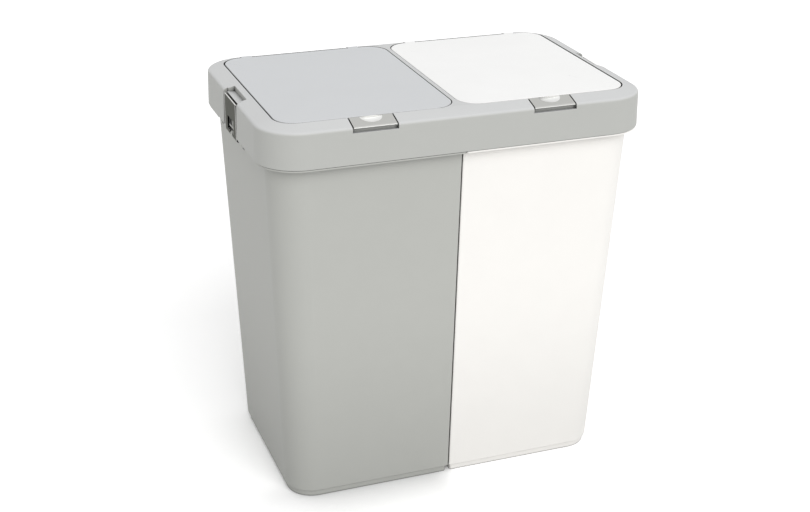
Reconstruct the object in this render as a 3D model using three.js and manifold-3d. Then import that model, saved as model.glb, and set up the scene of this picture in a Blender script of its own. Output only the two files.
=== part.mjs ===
// Double recycling bin: two tapered bins side by side under one lid frame.
// Millimetres. X runs along the width, -Y is the front, +Z is up.
// The origin is on the floor, under the middle of the object.

import * as THREE from 'three';
import { mergeVertices } from 'three/addons/utils/BufferGeometryUtils.js';
import Module from 'manifold-3d';

const wasm = await Module();
wasm.setup();

// ---------------------------------------------------------------- driving dimensions

// Clearances
const restGap = 0.3; // between faces that rest on each other
const pinGap = 0.15; // round a pin, on the radius
const sideGap = 0.6; // beside a part that slides or swings

// Lid frame
const frameWidth = 540;
const frameDepth = 352;
const frameHeight = 55; // from the skirt's lower edge to the plane of the lids
const frameCornerRadius = 57;
const frameWall = 2.6;
const skirtDraft = 1; // how far the skirt leans in on its way up
const shoulderDrop = 6.5; // how far the strip falls from the lids to the shoulder
const shoulderRadius = 5;
const stripWidth = 24; // sloping strip round the lids, in plan
const barWidth = 6; // bar between the two lid openings
const rimCover = 29; // how far the skirt hangs below the bins' rims
const seatRibInset = 7.4; // ring rib that stands on the bins' rims
const seatRibWall = 2.4;

// Lids
const openingRadius = 30;
const lidGap = 1.8; // in front of a lid and at its outer side
const lidBarGap = 0.6;
const lidRearGap = 1.5;
const lidWall = 2.6;
const lidRimHeight = 11.2;
const lidEdgeRound = 1.4;
const lidCrown = 3;
const lidCrownFlat = 0.15; // share of the lid that is flat in the middle
const lidSeatWidth = 7;
const lidSeatThickness = 2.6;

// Lid hinges
const hingeBehind = 10; // axis behind the rear edge of the opening
const hingeBelow = 5.4; // axis below the plane of the lids
const hingeSpread = 80; // arm from the middle of its lid
const hingeArmWidth = 16;
const hingeArmRadius = 3.4;
const hingeArmGap = 1;
const hingeCheek = 5;
const hingeCheekDepth = 5.5; // cheek below the axis
const hingeSlotBehind = 7; // slot behind the axis
const lidPinRadius = 1.5;

// Rocker latches
const latchWidth = 58;
const latchGap = 1.6;
const latchThickness = 2.4;
const latchPivotInset = 13; // from the frame's front
const latchPivotBelow = 6.5; // from the plane of the lids
const latchHubRadius = 3;
const latchRibWall = 3;
const latchArmWidth = 10;
const latchArmDepth = 9; // the arm's reach below the pivot
const latchArmWall = 3.2;
const latchNoseHeight = 2.4;
const latchNoseGap = 0.5; // between the nose and the lid's catch tab
const latchLipDrop = 7.6; // the lip's lower edge below the plane of the lids
const latchPinRadius = 1.5;
const latchCheek = 4;
const scoopWidth = 31;
const scoopDepth = 14; // from its flat side to the front
const scoopHollow = 1.8;
const scoopRise = 0.5; // height of the hollow's centre above the strip, as a share of its depth
const scoopEdge = 0.8; // from its flat side to the latch's rear edge
const catchTabWidth = 12;
const catchTabWall = 2;
const catchTabGap = 2; // beside the tab where it passes the lid seat
const recessHeight = 5.8; // finger recess below the latch lip
const recessDepth = 6;
const pocketFloorWall = 2.4;
const pocketFloorGap = 2.8; // under the latch arm, for its swing
const latchSpringRadius = 2.2;
const latchSpringWire = 0.7;
const latchSpringTurns = 6;
const latchSpringOffset = 15; // from the middle of the latch
const latchSpringInset = 17;
const springStubHeight = 3;

// Bins
const binHeight = 535;
const binTopInset = 12.3; // wall from the frame's outline, at the rim
const binTaperX = 22.4; // outer side, from rim to plinth
const binTaperY = 23.1; // front and back, from rim to plinth
const binTopRadius = 46;
const binFootRadius = 40;
const binWall = 2.5;
const binFloor = 3;
const binSeamGap = 0.7; // between the two bins
const binSeamRadius = 3;
const binFootRound = 2;
const plinthHeight = 9.6;
const plinthInset = 3.2;
const rimThickness = 2.4;
const lipInset = 3.2; // lip from the frame's outline
const lipWall = 2.2;
const beadInset = 1.2; // bead under the skirt, from the frame's outline
const beadGap = 0.6; // between the skirt and the bead
const beadHeight = 2.4;

// Side clips
const clipWidth = 61;
const clipGap = 4; // in the skirt's notch
const clipThickness = 2.4;
const clipRise = 45.5; // top of the clip above the skirt's lower edge
const clipPinInset = 4; // hinge axis from the frame's outline
const clipPinDrop = 3.5; // hinge axis below the skirt
const clipPinRadius = 1.6;
const clipBarrelRadius = 3.2;
const clipWindowWidth = 32;
const clipWindowHeight = 18;
const clipNoseDrop = 4.5; // nose below the clip's top
const clipNoseHeight = 3.3;
const clipCatchReach = 1.6; // the frame's catch panel, proud of the notch's wall
const clipCatchFoot = 2; // foot of the panel above the skirt's lower edge
const clipLedgeGap = 2.4; // between the clip and the ledge behind its top
const clipPocketReach = 16; // pocket above the clip, from the frame's outline
const clipPocketGap = 1; // pocket beyond the clip's ends
const lugRadius = 2.9;
const middleLugWidth = 10;
const outerLugWidth = 9;
const outerLugReach = 60; // outer face of the outer lugs
const lugNotchGap = 12; // rim notch beyond the outer lugs

// Facets
const cornerSteps = 7;
const shoulderSteps = 4;
const crownSteps = 4;
const roundSides = 16;
const scoopSides = 20;
const springSteps = 8;
const springSides = 5;
const overCut = 1; // how far a cutting shape reaches past what it cuts

// ---------------------------------------------------------------- derived places

const skirtBottomZ = binHeight - rimCover;
const lidPlaneZ = skirtBottomZ + frameHeight;
const seatZ = binHeight + restGap;
const halfWidth = frameWidth / 2;
const halfDepth = frameDepth / 2;
const barHalf = barWidth / 2;
const openingOuterX = halfWidth - stripWidth;
const openingHalfDepth = halfDepth - stripWidth;
const lidMiddleX = (barHalf + openingOuterX) / 2;
const lidBottomZ = lidPlaneZ - lidRimHeight;
const lidSeatTop = lidBottomZ - restGap;
const lidSeatBottom = lidSeatTop - lidSeatThickness;
const lidFrontY = -openingHalfDepth + lidGap;
const lidRearY = openingHalfDepth - lidRearGap;
const hingeY = openingHalfDepth + hingeBehind;
const hingeZ = lidPlaneZ - hingeBelow;
const latchPivotY = -halfDepth + latchPivotInset;
const latchPivotZ = lidPlaneZ - latchPivotBelow;
const latchLipZ = lidPlaneZ - latchLipDrop;
const latchArmBottomZ = latchPivotZ - latchArmDepth;
const latchNoseY = lidFrontY - latchNoseGap;
const pocketFloorZ = latchArmBottomZ - pocketFloorGap;
const recessFloorZ = latchLipZ - recessHeight;
const recessBackY = -halfDepth + recessDepth;
const latchSpringY = -halfDepth + latchSpringInset;
const clipPinX = halfWidth - clipPinInset;
const clipPinZ = skirtBottomZ - clipPinDrop;
const clipTopZ = skirtBottomZ + clipRise;
const clipOuterX = clipPinX + clipBarrelRadius;
const clipInnerX = clipOuterX - clipThickness;
const clipWallX = halfWidth - seatRibInset;
const clipWallInnerX = clipWallX - seatRibWall;
const clipNotchHalf = clipWidth / 2 + clipGap;
const clipPocketHalf = clipWidth / 2 + clipPocketGap;
const rimNotchHalf = outerLugReach + lugNotchGap;

// ---------------------------------------------------------------- materials

function plastic(colour, roughness) {
  return new THREE.MeshStandardMaterial({ color: colour, roughness, metalness: 0 });
}

function metal(colour, roughness) {
  return new THREE.MeshStandardMaterial({ color: colour, roughness, metalness: 0.9 });
}

const frameGrey = plastic(0xd2d4d3, 0.5);
const binGrey = plastic(0xb4b4b0, 0.55);
const lidGrey = plastic(0xd2d3d4, 0.5);
const white = plastic(0xf6f5f1, 0.45);
const silver = metal(0xb8b8b4, 0.35);
const steel = metal(0x9a9b9c, 0.3);

// ---------------------------------------------------------------- solids

function solid(geometry) {
  const bare = geometry.clone();
  bare.deleteAttribute('normal');
  bare.deleteAttribute('uv');
  const merged = mergeVertices(bare, 1e-4);
  return new wasm.Manifold(new wasm.Mesh({
    numProp: 3,
    vertProperties: new Float32Array(merged.attributes.position.array),
    triVerts: new Uint32Array(merged.index.array),
  }));
}

function toGeometry(body) {
  const mesh = body.getMesh();
  const geometry = new THREE.BufferGeometry();
  geometry.setAttribute('position', new THREE.BufferAttribute(mesh.vertProperties, 3));
  geometry.setIndex(new THREE.BufferAttribute(mesh.triVerts, 1));
  return geometry;
}

function join(first, ...others) {
  return others.reduce((sum, other) => sum.add(other), first);
}

function cut(first, ...others) {
  return others.reduce((rest, other) => rest.subtract(other), first);
}

function box(x0, x1, y0, y1, z0, z1) {
  const geometry = new THREE.BoxGeometry(x1 - x0, y1 - y0, z1 - z0);
  geometry.translate((x0 + x1) / 2, (y0 + y1) / 2, (z0 + z1) / 2);
  return solid(geometry);
}

// A box symmetrical about x = middle
function boxAbout(middle, half, y0, y1, z0, z1) {
  return box(middle - half, middle + half, y0, y1, z0, z1);
}

function rodAlongX(x0, x1, y, z, radius) {
  const geometry = new THREE.CylinderGeometry(radius, radius, x1 - x0, roundSides);
  geometry.rotateZ(Math.PI / 2);
  geometry.translate((x0 + x1) / 2, y, z);
  return geometry;
}

function rodAlongY(y0, y1, x, z, radius) {
  const geometry = new THREE.CylinderGeometry(radius, radius, y1 - y0, roundSides);
  geometry.translate(x, (y0 + y1) / 2, z);
  return geometry;
}

// A closed outline of [y, z] points, swept along X
function sweepAlongX(points, x0, x1) {
  const shape = new THREE.Shape(points.map(([y, z]) => new THREE.Vector2(y, z)));
  const geometry = new THREE.ExtrudeGeometry(shape, { depth: x1 - x0, bevelEnabled: false });
  const basis = new THREE.Matrix4().makeBasis(
    new THREE.Vector3(0, 1, 0), new THREE.Vector3(0, 0, 1), new THREE.Vector3(1, 0, 0));
  geometry.applyMatrix4(basis);
  geometry.translate(x0, 0, 0);
  return solid(geometry);
}

// A closed outline of [x, z] points, swept along Y
function sweepAlongY(points, y0, y1) {
  const shape = new THREE.Shape(points.map(([x, z]) => new THREE.Vector2(x, z)));
  const geometry = new THREE.ExtrudeGeometry(shape, { depth: y1 - y0, bevelEnabled: false });
  const basis = new THREE.Matrix4().makeBasis(
    new THREE.Vector3(1, 0, 0), new THREE.Vector3(0, 0, 1), new THREE.Vector3(0, -1, 0));
  geometry.applyMatrix4(basis);
  geometry.translate(0, y1, 0);
  return solid(geometry);
}

// ---------------------------------------------------------------- plans and lofts

// plan: { x0, x1, y0, y1, radii: [right back, left back, left front, right front] }
// insets: how far each side moves in, { left, right, front, back }
function ringOf(plan, insets, z) {
  const x0 = plan.x0 + insets.left;
  const x1 = plan.x1 - insets.right;
  const y0 = plan.y0 + insets.front;
  const y1 = plan.y1 - insets.back;
  const smallest = 0.4;
  const least = Math.min(x1 - x0, y1 - y0) / 2 - smallest;
  const centres = [[1, 1], [-1, 1], [-1, -1], [1, -1]];
  const ring = [];
  centres.forEach(([sx, sy], corner) => {
    const inset = Math.min(sx > 0 ? insets.right : insets.left, sy > 0 ? insets.back : insets.front);
    const radius = Math.min(least, Math.max(smallest, plan.radii[corner] - inset));
    const cx = sx > 0 ? x1 - radius : x0 + radius;
    const cy = sy > 0 ? y1 - radius : y0 + radius;
    for (let step = 0; step <= cornerSteps; step += 1) {
      const angle = (corner + step / cornerSteps) * Math.PI / 2;
      ring.push([cx + radius * Math.cos(angle), cy + radius * Math.sin(angle), z]);
    }
  });
  return ring;
}

function evenRing(plan, inset, z) {
  return ringOf(plan, { left: inset, right: inset, front: inset, back: inset }, z);
}

// A closed solid through rings of equal count, from the lowest to the highest
function loft(rings) {
  const count = rings[0].length;
  const points = rings.flat(2);
  const faces = [];
  for (let level = 0; level < rings.length - 1; level += 1) {
    for (let step = 0; step < count; step += 1) {
      const next = (step + 1) % count;
      const a = level * count + step;
      const b = level * count + next;
      faces.push(a, b, b + count, a, b + count, a + count);
    }
  }
  const top = (rings.length - 1) * count;
  for (let step = 1; step < count - 1; step += 1) {
    faces.push(0, step + 1, step);
    faces.push(top, top + step, top + step + 1);
  }
  const geometry = new THREE.BufferGeometry();
  geometry.setAttribute('position', new THREE.Float32BufferAttribute(points, 3));
  geometry.setIndex(faces);
  return solid(geometry);
}

function prism(plan, inset, z0, z1) {
  return loft([evenRing(plan, inset, z0), evenRing(plan, inset, z1)]);
}

const framePlan = {
  x0: -halfWidth, x1: halfWidth, y0: -halfDepth, y1: halfDepth,
  radii: Array(4).fill(frameCornerRadius),
};

function openingPlan(side) {
  const inner = side * barHalf;
  const outer = side * openingOuterX;
  return {
    x0: Math.min(inner, outer), x1: Math.max(inner, outer),
    y0: -openingHalfDepth, y1: openingHalfDepth,
    radii: Array(4).fill(openingRadius),
  };
}

// The frame's outer profile as [inset, z] points, moved inward by an offset
function frameProfile(offset) {
  const foot = new THREE.Vector2(0, skirtBottomZ);
  const corner = new THREE.Vector2(skirtDraft, lidPlaneZ - shoulderDrop);
  const brow = new THREE.Vector2(stripWidth, lidPlaneZ);
  const up = corner.clone().sub(foot).normalize();
  const along = brow.clone().sub(corner).normalize();
  const skirtNormal = new THREE.Vector2(up.y, -up.x);
  const stripNormal = new THREE.Vector2(along.y, -along.x);
  const turn = Math.acos(up.dot(along));
  const shift = offset / Math.cos(turn / 2);
  const diagonal = skirtNormal.clone().add(stripNormal).normalize();
  const movedCorner = corner.clone().addScaledVector(diagonal, shift);
  const radius = shoulderRadius - offset;
  const tangent = radius * Math.tan(turn / 2);
  const centre = movedCorner.clone().addScaledVector(up, -tangent).addScaledVector(skirtNormal, radius);
  const profile = [];
  const footZ = skirtBottomZ - (offset > 0 ? overCut : 0);
  const footInset = movedCorner.x - (movedCorner.y - footZ) * up.x / up.y;
  profile.push([footInset, footZ]);
  const start = Math.atan2(-skirtNormal.y, -skirtNormal.x);
  for (let step = 0; step <= shoulderSteps; step += 1) {
    const angle = start - turn * step / shoulderSteps;
    profile.push([centre.x + radius * Math.cos(angle), centre.y + radius * Math.sin(angle)]);
  }
  const topZ = lidPlaneZ - offset;
  profile.push([movedCorner.x + (topZ - movedCorner.y) * along.x / along.y, topZ]);
  return profile;
}

function frameForm(offset) {
  return loft(frameProfile(offset).map(([inset, z]) => evenRing(framePlan, inset, z)));
}

// ---------------------------------------------------------------- lid frame

const frameOuter = frameForm(0);

function makeFrame() {
  const topZ = lidPlaneZ + overCut;
  const parts = [cut(frameOuter, frameForm(frameWall))];
  parts.push(cut(prism(framePlan, seatRibInset, seatZ, topZ),
    prism(framePlan, seatRibInset + seatRibWall, seatZ - overCut, topZ + overCut)));
  parts.push(boxAbout(0, barHalf, -openingHalfDepth - frameWall, openingHalfDepth + frameWall, seatZ, topZ));
  for (const side of [-1, 1]) {
    const plan = openingPlan(side);
    parts.push(prism(plan, -frameWall, seatZ, topZ));
    parts.push(...latchHousing(side * lidMiddleX));
    parts.push(...clipHousing(side));
    for (const offset of [-hingeSpread, hingeSpread]) {
      const half = hingeArmWidth / 2 + hingeArmGap + hingeCheek;
      parts.push(boxAbout(side * lidMiddleX + offset, half, openingHalfDepth,
        hingeY + hingeSlotBehind + frameWall, hingeZ - hingeCheekDepth, topZ));
    }
  }
  let frame = join(...parts).intersect(frameOuter);
  for (const side of [-1, 1]) {
    const plan = openingPlan(side);
    frame = cut(frame,
      prism(plan, 0, lidSeatTop, topZ + overCut),
      prism(plan, 0, seatZ - overCut, lidSeatBottom),
      prism(plan, lidSeatWidth, seatZ - overCut, topZ + overCut),
      ...latchCuts(side * lidMiddleX),
      ...clipCuts(side));
    for (const offset of [-hingeSpread, hingeSpread]) {
      frame = cut(frame, ...hingeCuts(side * lidMiddleX + offset));
    }
    frame = join(frame, clipCatch(side), clipLedge(side), springStub(side * lidMiddleX, side));
  }
  return toGeometry(frame);
}

function latchHousing(middle) {
  const half = latchWidth / 2 + latchGap + latchCheek;
  return [boxAbout(middle, half, -halfDepth, -openingHalfDepth, pocketFloorZ - pocketFloorWall,
    lidPlaneZ + overCut)];
}

function latchCuts(middle) {
  const half = latchWidth / 2 + latchGap;
  const topZ = lidPlaneZ + overCut;
  const backWallY = recessBackY + frameWall;
  const wallTopZ = latchLipZ - restGap;
  const windowHalf = latchArmWidth / 2 + latchGap;
  const tabHalf = catchTabWidth / 2 + catchTabGap;
  const pinHalf = half + latchCheek - overCut;
  return [
    boxAbout(middle, half, backWallY, -openingHalfDepth - frameWall, pocketFloorZ, topZ),
    boxAbout(middle, half, -halfDepth - overCut, recessBackY, recessFloorZ, topZ),
    boxAbout(middle, half, -halfDepth - overCut, -openingHalfDepth + overCut, wallTopZ, topZ),
    boxAbout(middle, windowHalf, backWallY, -openingHalfDepth + overCut, pocketFloorZ, topZ),
    boxAbout(middle, tabHalf, -openingHalfDepth, -openingHalfDepth + lidSeatWidth / 2 + overCut,
      lidSeatBottom - overCut, lidSeatTop + overCut),
    solid(rodAlongX(middle - pinHalf, middle + pinHalf, latchPivotY, latchPivotZ, latchPinRadius + pinGap)),
  ];
}

function springStub(middle, side) {
  const geometry = new THREE.CylinderGeometry(
    latchSpringRadius - latchSpringWire, latchSpringRadius - latchSpringWire,
    springStubHeight + overCut, roundSides);
  geometry.rotateX(Math.PI / 2);
  geometry.translate(middle + side * latchSpringOffset, latchSpringY,
    pocketFloorZ + (springStubHeight - overCut) / 2);
  return solid(geometry);
}

function hingeCuts(middle) {
  const half = hingeArmWidth / 2 + hingeArmGap;
  const pinHalf = half + hingeCheek - overCut;
  return [
    boxAbout(middle, half, openingHalfDepth - overCut, hingeY + hingeSlotBehind,
      hingeZ - hingeArmRadius - hingeArmGap, lidPlaneZ + overCut),
    boxAbout(middle, half, openingHalfDepth + frameWall, hingeY + hingeSlotBehind,
      hingeZ - hingeCheekDepth - overCut, lidPlaneZ + overCut),
    solid(rodAlongX(middle - pinHalf, middle + pinHalf, hingeY, hingeZ, lidPinRadius + pinGap)),
  ];
}

function clipHousing(side) {
  const half = clipNotchHalf + frameWall;
  const topZ = lidPlaneZ + overCut;
  const upper = [side * halfWidth, side * openingOuterX].sort((a, b) => a - b);
  const lower = [side * halfWidth, side * clipWallInnerX].sort((a, b) => a - b);
  return [
    box(...upper, -half, half, seatZ, topZ),
    box(...lower, -half, half, skirtBottomZ, seatZ + overCut),
  ];
}

function clipCuts(side) {
  const outerX = halfWidth + overCut;
  const pocketX = halfWidth - clipPocketReach;
  const floorBottomZ = clipTopZ - frameWall;
  const pair = (a, b) => [side * a, side * b].sort((p, q) => p - q);
  return [
    box(...pair(clipWallX, outerX), -clipNotchHalf, clipNotchHalf, skirtBottomZ - overCut,
      lidPlaneZ + overCut),
    box(...pair(pocketX, outerX), -clipPocketHalf, clipPocketHalf, clipTopZ, lidPlaneZ + overCut),
    box(...pair(openingOuterX + frameWall, clipWallInnerX), -clipPocketHalf, clipPocketHalf,
      seatZ - overCut, floorBottomZ),
  ];
}

// A raised panel on the notch's wall, whose top lies just under the closed clip's nose
function clipCatch(side) {
  const topZ = clipTopZ - clipNoseDrop - clipNoseHeight - sideGap;
  const ends = [side * (clipWallX - overCut), side * (clipWallX + clipCatchReach)].sort((a, b) => a - b);
  return box(...ends, -clipWindowWidth / 2, clipWindowWidth / 2, skirtBottomZ + clipCatchFoot, topZ);
}

// The pocket's floor runs out to just behind the clip's top
function clipLedge(side) {
  const ends = [side * (clipWallX - overCut), side * (clipInnerX - clipLedgeGap)].sort((a, b) => a - b);
  const half = clipNotchHalf + overCut;
  return box(...ends, -half, half, clipTopZ - frameWall, clipTopZ);
}

// ---------------------------------------------------------------- lids

// The left lid, closed
function makeLid() {
  const plan = openingPlan(-1);
  const edge = (extra) => ({
    left: lidGap + extra, right: lidBarGap + extra, front: lidGap + extra, back: lidRearGap + extra,
  });
  const crownRings = (ring, planeZ) => {
    const rings = [];
    for (let step = 1; step <= crownSteps; step += 1) {
      const way = step / crownSteps;
      const height = lidCrown * (1 - (1 - way) ** 2);
      rings.push(shrunk(ring, 1 - way * (1 - lidCrownFlat), planeZ + height));
    }
    return rings;
  };
  const topRing = ringOf(plan, edge(lidEdgeRound), lidPlaneZ);
  const innerRing = ringOf(plan, edge(lidWall), lidPlaneZ - lidWall);
  const outer = loft([
    ringOf(plan, edge(0), lidBottomZ),
    ringOf(plan, edge(0), lidPlaneZ - lidEdgeRound),
    ringOf(plan, edge(lidEdgeRound * 0.3), lidPlaneZ - lidEdgeRound * 0.3),
    topRing,
    ...crownRings(topRing, lidPlaneZ),
  ]);
  const inner = loft([
    ringOf(plan, edge(lidWall), lidBottomZ - overCut),
    innerRing,
    ...crownRings(innerRing, lidPlaneZ - lidWall),
  ]);
  let lid = cut(outer, inner);
  for (const offset of [-hingeSpread, hingeSpread]) {
    lid = join(lid, hingeArm(-lidMiddleX + offset));
  }
  const tab = boxAbout(-lidMiddleX, catchTabWidth / 2, lidFrontY, lidFrontY + catchTabWall,
    latchArmBottomZ, lidPlaneZ - lidWall);
  lid = join(lid, tab);
  for (const offset of [-hingeSpread, hingeSpread]) {
    const half = hingeArmWidth / 2 + overCut;
    const middle = -lidMiddleX + offset;
    lid = cut(lid, solid(rodAlongX(middle - half, middle + half, hingeY, hingeZ, lidPinRadius + pinGap)));
  }
  return toGeometry(lid);
}

// A ring drawn in towards its middle, at a height
function shrunk(ring, share, z) {
  const outline = new THREE.Box2().setFromPoints(ring.map(([x, y]) => new THREE.Vector2(x, y)));
  const middle = outline.getCenter(new THREE.Vector2());
  return ring.map(([x, y]) => [middle.x + (x - middle.x) * share, middle.y + (y - middle.y) * share, z]);
}

// An arm from the lid's rear rim to the hinge axis, with a round end
function hingeArm(middle) {
  const points = [];
  for (let step = 0; step <= roundSides / 2; step += 1) {
    const angle = -Math.PI / 2 + Math.PI * step / (roundSides / 2);
    points.push([hingeY + hingeArmRadius * Math.cos(angle), hingeZ + hingeArmRadius * Math.sin(angle)]);
  }
  const rootY = lidRearY - lidWall / 2;
  points.push([rootY, hingeZ + hingeArmRadius], [rootY, hingeZ - hingeArmRadius]);
  return sweepAlongX(points, middle - hingeArmWidth / 2, middle + hingeArmWidth / 2);
}

function makeLidPin(offset) {
  const middle = -lidMiddleX + offset;
  const half = hingeArmWidth / 2 + hingeArmGap + hingeCheek - overCut - restGap;
  return rodAlongX(middle - half, middle + half, hingeY, hingeZ, lidPinRadius);
}

// ---------------------------------------------------------------- rocker latches

// The left latch: a plate that follows the frame's strip, two ribs and a nose arm on one pivot
function makeLatch() {
  const middle = -lidMiddleX;
  const half = latchWidth / 2;
  const rearY = -openingHalfDepth;
  const zone = boxAbout(middle, half, -halfDepth - overCut, rearY, latchLipZ, lidPlaneZ + overCut);
  const plate = cut(frameOuter, frameForm(latchThickness)).intersect(zone);
  const under = frameForm(latchThickness / 2);
  const rib = (x0, x1) => join(
    solid(rodAlongX(x0, x1, latchPivotY, latchPivotZ, latchHubRadius)),
    box(x0, x1, latchPivotY - latchHubRadius, latchPivotY + latchHubRadius, latchPivotZ,
      lidPlaneZ + overCut).intersect(under));
  const armHalf = latchArmWidth / 2;
  const arm = join(
    rib(middle - armHalf, middle + armHalf),
    boxAbout(middle, armHalf, latchPivotY - latchArmWall / 2, latchPivotY + latchArmWall / 2,
      latchArmBottomZ, latchPivotZ),
    boxAbout(middle, armHalf, latchPivotY - latchArmWall / 2, latchNoseY, latchArmBottomZ,
      latchArmBottomZ + latchNoseHeight));
  const latch = join(plate, arm,
    rib(middle - half + latchGap, middle - half + latchGap + latchRibWall),
    rib(middle + half - latchGap - latchRibWall, middle + half - latchGap));
  const bore = solid(rodAlongX(middle - half - overCut, middle + half + overCut,
    latchPivotY, latchPivotZ, latchPinRadius + pinGap));
  return toGeometry(cut(latch, bore, scoop(middle)));
}

// Half-moon hollow whose flat side lies along the latch's rear edge
function scoop(middle) {
  const slope = Math.atan2(shoulderDrop, stripWidth - skirtDraft);
  const rise = scoopRise * scoopHollow;
  const depth = rise + scoopHollow;
  const spread = 1 / Math.sqrt(1 - (rise / depth) ** 2);
  const geometry = new THREE.SphereGeometry(1, scoopSides, scoopSides / 2);
  geometry.scale(scoopWidth / 2 * spread, scoopDepth * spread, depth);
  geometry.translate(0, 0, rise);
  geometry.rotateX(slope);
  const flatY = -openingHalfDepth - scoopEdge;
  geometry.translate(middle, flatY, lidPlaneZ - scoopEdge * Math.tan(slope));
  const front = boxAbout(middle, scoopWidth, flatY - 2 * scoopDepth, flatY, latchLipZ, lidPlaneZ + scoopDepth);
  return solid(geometry).intersect(front);
}

function makeLatchPin() {
  const half = latchWidth / 2 + latchGap + latchCheek - overCut - restGap;
  return rodAlongX(-lidMiddleX - half, -lidMiddleX + half, latchPivotY, latchPivotZ, latchPinRadius);
}

class Helix extends THREE.Curve {
  constructor(radius, bottom, top, turns) {
    super();
    Object.assign(this, { radius, bottom, top, turns });
  }

  getPoint(t, target = new THREE.Vector3()) {
    const angle = 2 * Math.PI * this.turns * t;
    const z = this.bottom + (this.top - this.bottom) * t;
    return target.set(this.radius * Math.cos(angle), this.radius * Math.sin(angle), z);
  }
}

function makeLatchSpring() {
  const strip = (halfDepth - openingHalfDepth - skirtDraft);
  const fall = shoulderDrop * (halfDepth - openingHalfDepth - latchSpringInset + latchSpringRadius) / strip;
  const padZ = lidPlaneZ - fall - latchThickness / Math.cos(Math.atan2(shoulderDrop, strip));
  const wireHalf = latchSpringWire / 2;
  const bottom = pocketFloorZ + wireHalf + restGap;
  const top = padZ - wireHalf - 2 * restGap;
  const path = new Helix(latchSpringRadius, bottom, top, latchSpringTurns);
  const section = new THREE.Shape();
  for (let side = 0; side < springSides; side += 1) {
    const angle = 2 * Math.PI * side / springSides;
    const point = [wireHalf * Math.cos(angle), wireHalf * Math.sin(angle)];
    if (side === 0) section.moveTo(...point); else section.lineTo(...point);
  }
  section.closePath();
  const geometry = new THREE.ExtrudeGeometry(section, {
    steps: latchSpringTurns * springSteps, extrudePath: path, bevelEnabled: false,
  });
  geometry.translate(-lidMiddleX - latchSpringOffset, latchSpringY, 0);
  return toGeometry(solid(geometry));
}

// ---------------------------------------------------------------- bins

const binPlan = {
  x0: -halfWidth, x1: -binSeamGap / 2, y0: -halfDepth, y1: halfDepth,
  radii: [binSeamRadius, frameCornerRadius, frameCornerRadius, binSeamRadius],
};

// A ring of the left bin's wall at a height, moved inward by an offset
function binRing(z, offset) {
  const share = (binHeight - z) / (binHeight - plinthHeight);
  const insetX = binTopInset + binTaperX * share + offset;
  const insetY = binTopInset + binTaperY * share + offset;
  const radius = binTopRadius + (binFootRadius - binTopRadius) * share;
  const corner = radius + insetX - offset;
  const plan = { ...binPlan, radii: [binSeamRadius, corner, corner, binSeamRadius] };
  return ringOf(plan, { left: insetX, right: offset, front: insetY, back: insetY }, z);
}

// The rim's plan: it follows the frame on three sides and stops at the seam, or runs past it
function rimPlan(inset, pastSeam) {
  const corner = frameCornerRadius - inset;
  return {
    x0: -halfWidth + inset, x1: -binSeamGap / 2 + pastSeam,
    y0: -halfDepth + inset, y1: halfDepth - inset,
    radii: [binSeamRadius, corner, corner, binSeamRadius],
  };
}

function makeBin() {
  const wall = loft([
    binRing(plinthHeight, binFootRound),
    binRing(plinthHeight + binFootRound * 0.3, binFootRound * 0.3),
    binRing(plinthHeight + binFootRound, 0),
    binRing(binHeight, 0),
  ]);
  const plinth = loft([binRing(0, plinthInset), binRing(plinthHeight + overCut, plinthInset)]);
  const beadTopZ = skirtBottomZ - beadGap;
  const lipBottomZ = beadTopZ - beadHeight;
  const rim = cut(
    join(prism(rimPlan(lipInset, 0), 0, lipBottomZ, binHeight),
      prism(rimPlan(beadInset, 0), 0, lipBottomZ, beadTopZ)),
    prism(rimPlan(lipInset + lipWall, overCut), 0, lipBottomZ - overCut, binHeight - rimThickness));
  const hollow = loft([
    binRing(binFloor, plinthInset + binWall),
    binRing(plinthHeight, plinthInset + binWall),
    binRing(plinthHeight + binFloor, binWall),
    binRing(binHeight + overCut, binWall),
  ]);
  const notch = box(-halfWidth, -clipWallInnerX + sideGap, -rimNotchHalf, rimNotchHalf,
    lipBottomZ - overCut, binHeight + overCut);
  const shell = join(cut(join(wall, plinth, rim), notch), ...clipLugs());
  return toGeometry(cut(shell, hollow, clipBore()));
}

function clipLugs() {
  const wallX = halfWidth - binTopInset - binTaperX * (binHeight - clipPinZ) / (binHeight - plinthHeight);
  const rootX = -wallX + binWall / 2;
  const innerY = outerLugReach - outerLugWidth;
  const spans = [[-outerLugReach, -innerY], [-middleLugWidth / 2, middleLugWidth / 2], [innerY, outerLugReach]];
  return spans.map(([y0, y1]) => join(
    box(-clipPinX, rootX, y0, y1, clipPinZ - lugRadius, clipPinZ + lugRadius),
    solid(rodAlongY(y0, y1, -clipPinX, clipPinZ, lugRadius))));
}

function clipBore() {
  return solid(rodAlongY(-outerLugReach - overCut, outerLugReach + overCut, -clipPinX, clipPinZ,
    clipPinRadius + pinGap));
}

// ---------------------------------------------------------------- side clips

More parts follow.
